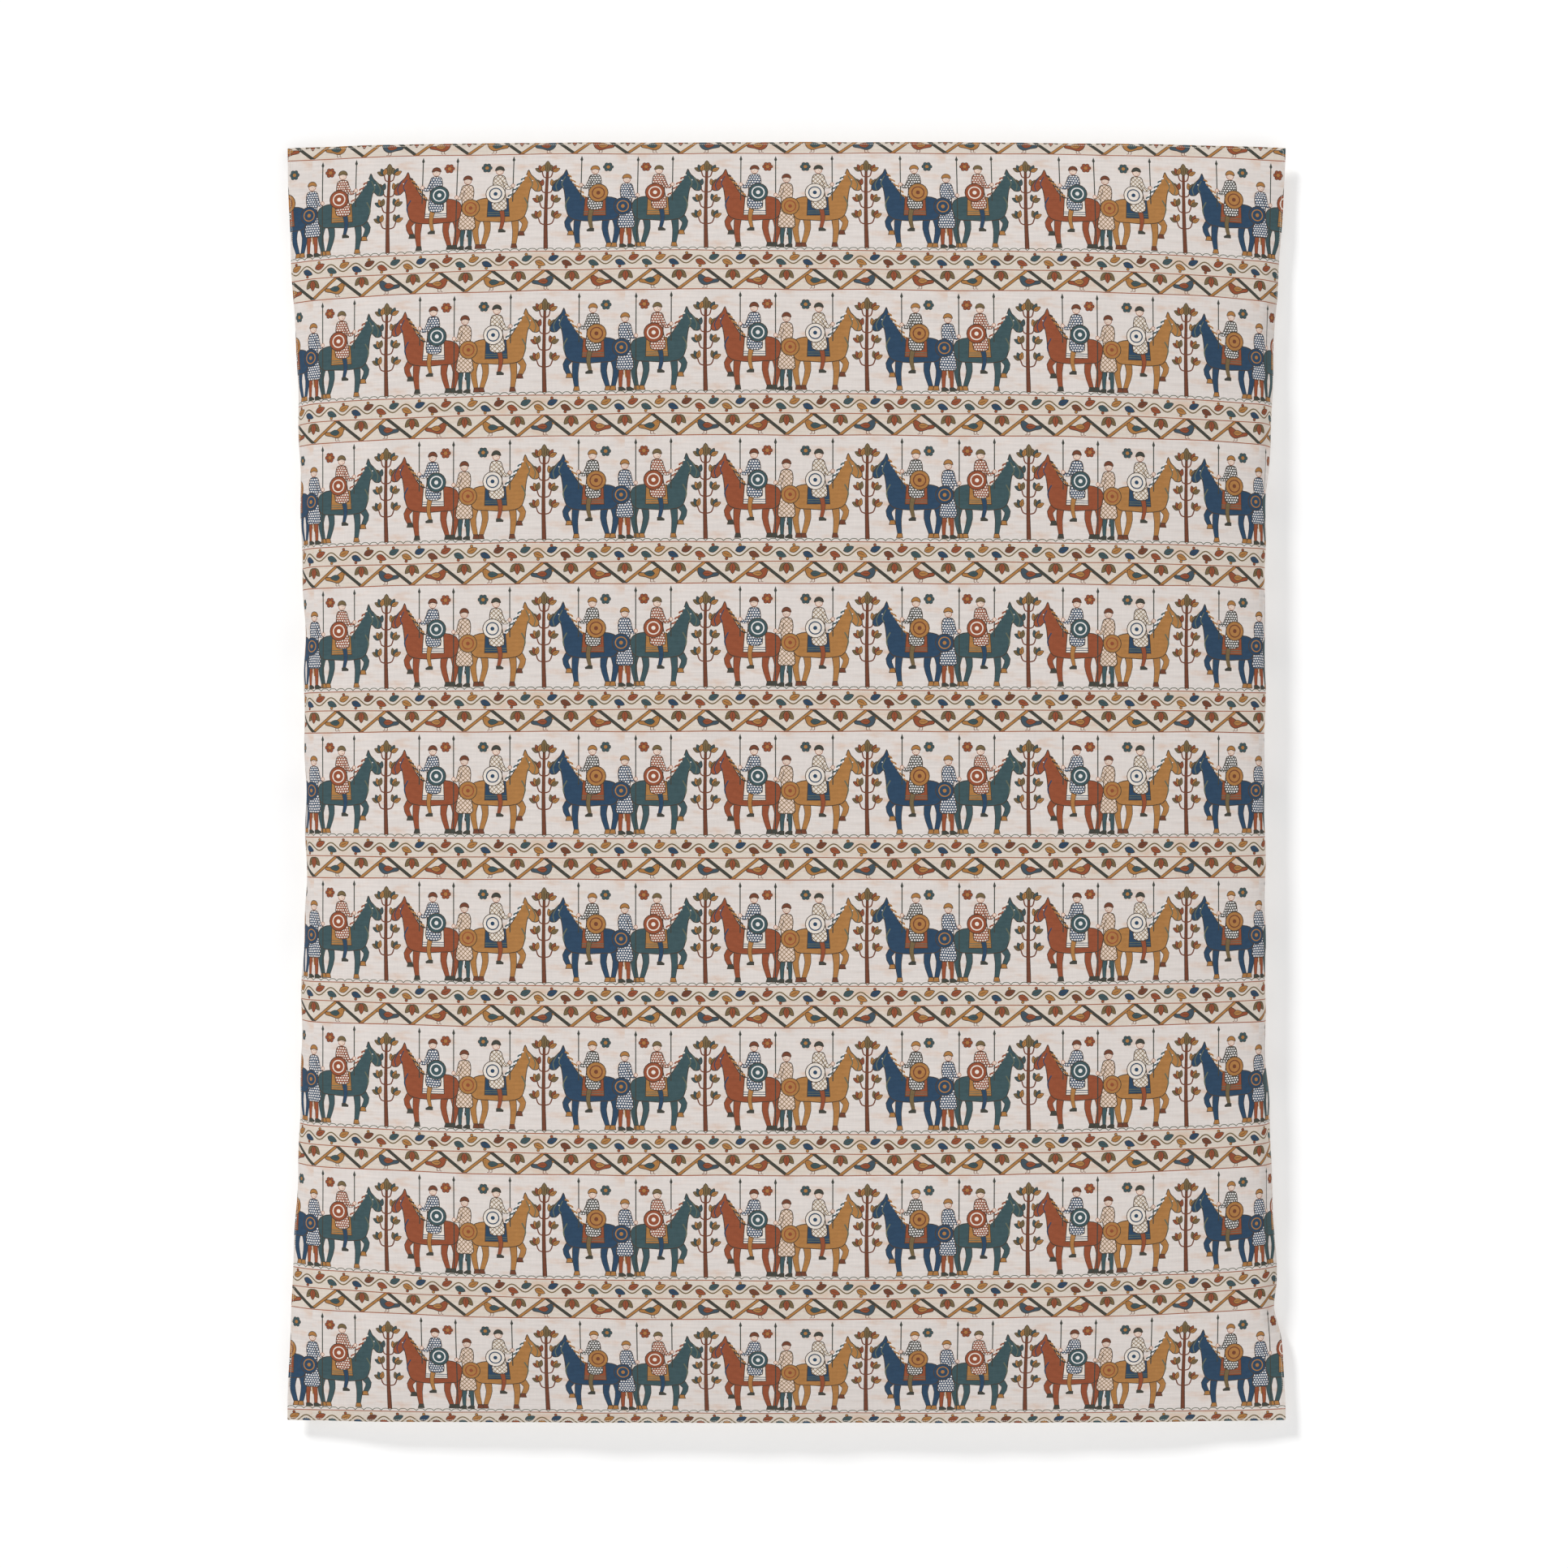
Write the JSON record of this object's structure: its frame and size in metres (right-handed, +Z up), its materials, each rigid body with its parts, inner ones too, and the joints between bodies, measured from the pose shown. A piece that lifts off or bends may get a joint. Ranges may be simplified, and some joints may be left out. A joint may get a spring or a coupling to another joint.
{
  "type": "tapestry wall hanging",
  "caption": "Large printed cloth wall hanging with turned hems and a tape loop sewn behind each corner, hung with its middle standing off the wall.",
  "frame": {"origin": "on the wall's face, at the middle of the panel's top edge", "axes": "+Z up, +X to the right as seen from the room, +Y into the wall, so the printed face looks along -Y"},
  "size_m": [1.3958, 0.1128, 1.778],
  "materials": {
    "printed_cloth": "matt plain weave, printed",
    "cloth_back": "matt plain weave, unprinted side",
    "thread": "polyester sewing thread",
    "tape": "cotton twill tape",
    "label": "blank satin label"
  },
  "bodies": {
    "root": {"printed_cloth": "printed_cloth", "hem_top": "cloth_back", "hem_bottom": "cloth_back", "hem_left": "cloth_back", "hem_right": "cloth_back", "hem_stitches_top": "thread", "hem_stitches_bottom": "thread", "hem_stitches_left": "thread", "hem_stitches_right": "thread", "hanging_loop_top_left": "tape", "hanging_loop_top_right": "tape", "hanging_loop_bottom_left": "tape", "hanging_loop_bottom_right": "tape", "bartack_top_left_outer": "thread", "bartack_top_left_inner": "thread", "bartack_top_right_outer": "thread", "bartack_top_right_inner": "thread", "bartack_bottom_left_outer": "thread", "bartack_bottom_left_inner": "thread", "bartack_bottom_right_outer": "thread", "bartack_bottom_right_inner": "thread", "care_label": "label", "care_label_stitches": "thread"}
  },
  "joints": []
}
